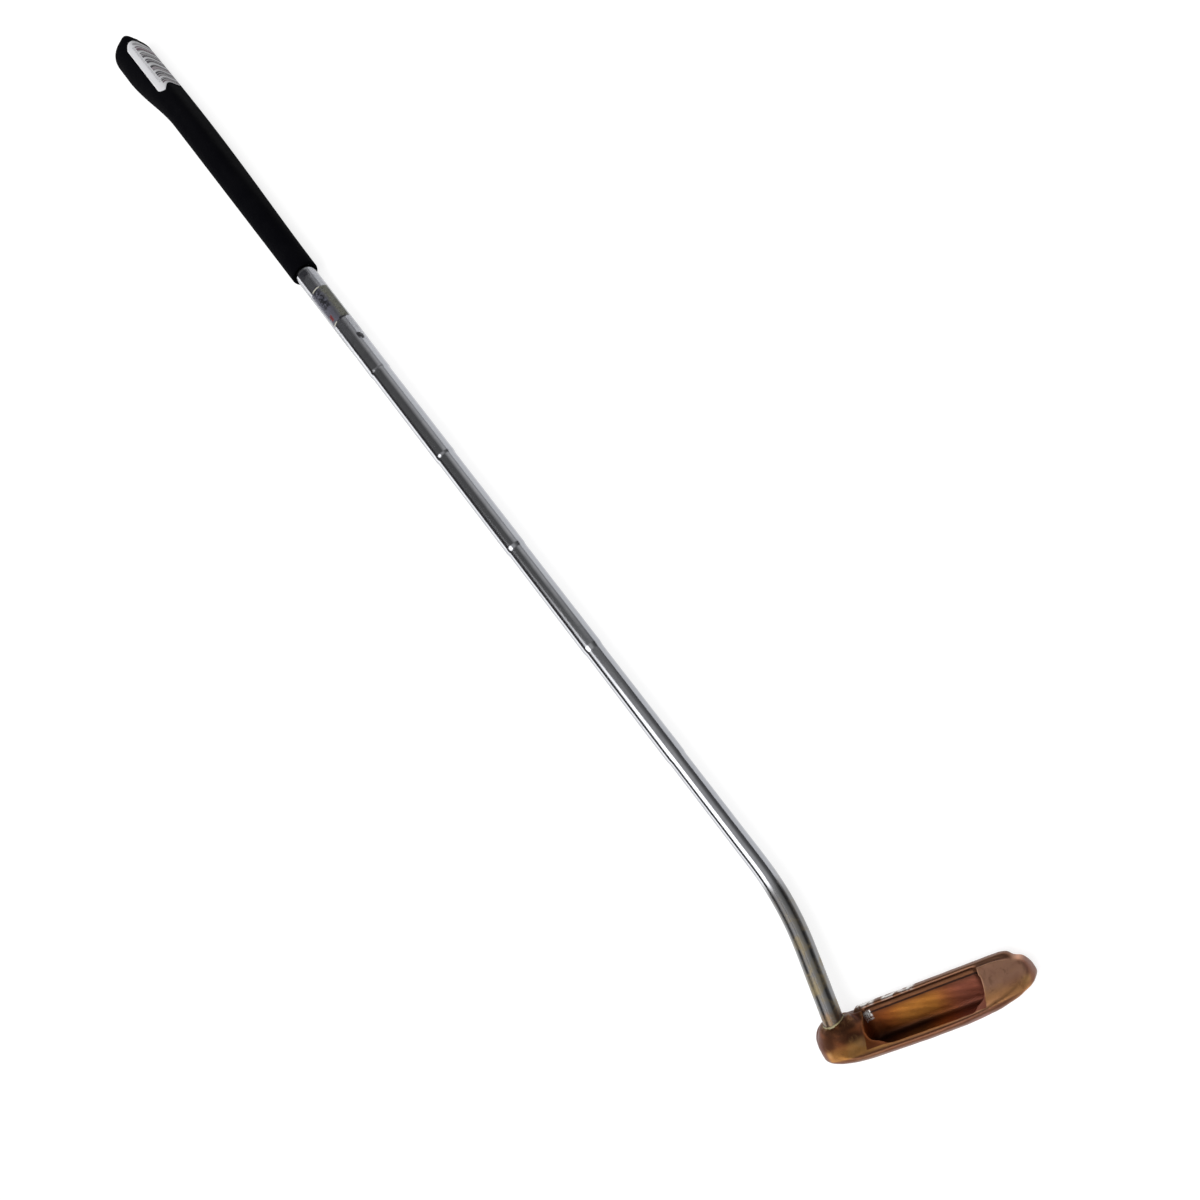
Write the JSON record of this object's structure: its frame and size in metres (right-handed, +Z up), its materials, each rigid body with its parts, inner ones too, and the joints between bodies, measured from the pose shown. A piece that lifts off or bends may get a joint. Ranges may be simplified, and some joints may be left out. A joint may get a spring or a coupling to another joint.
{
  "type": "golf putter",
  "caption": "Right-handed blade putter with a cavity-back bronze head, a bent stepped steel shaft and a pistol grip.",
  "frame": {"origin": "bottom centre of the bounding box, on the table that the putter lies on", "axes": "+X along the shaft from the grip to the head, +Y from the heel to the toe side, +Z up; the putter lies face down"},
  "size_m": [0.9056, 0.1156, 0.0274],
  "materials": {
    "head_bronze": "aged and worn, with a brown to gold tone",
    "shaft_chrome": "polished chrome with fine scratches",
    "grip_rubber": "matte",
    "tape": "masking tape",
    "epoxy": "yellowed resin",
    "plug_nylon": "moulded",
    "sticker_paper": "coated paper with plain bars",
    "band_film": "worn residue of a printed film"
  },
  "bodies": {
    "root": {"putter_head": "head_bronze", "shaft": "shaft_chrome", "grip": "grip_rubber", "grip_tape": "tape", "socket_epoxy": "epoxy", "shaft_plug": "plug_nylon", "grip_sticker": "sticker_paper", "shaft_band": "band_film"}
  },
  "joints": []
}
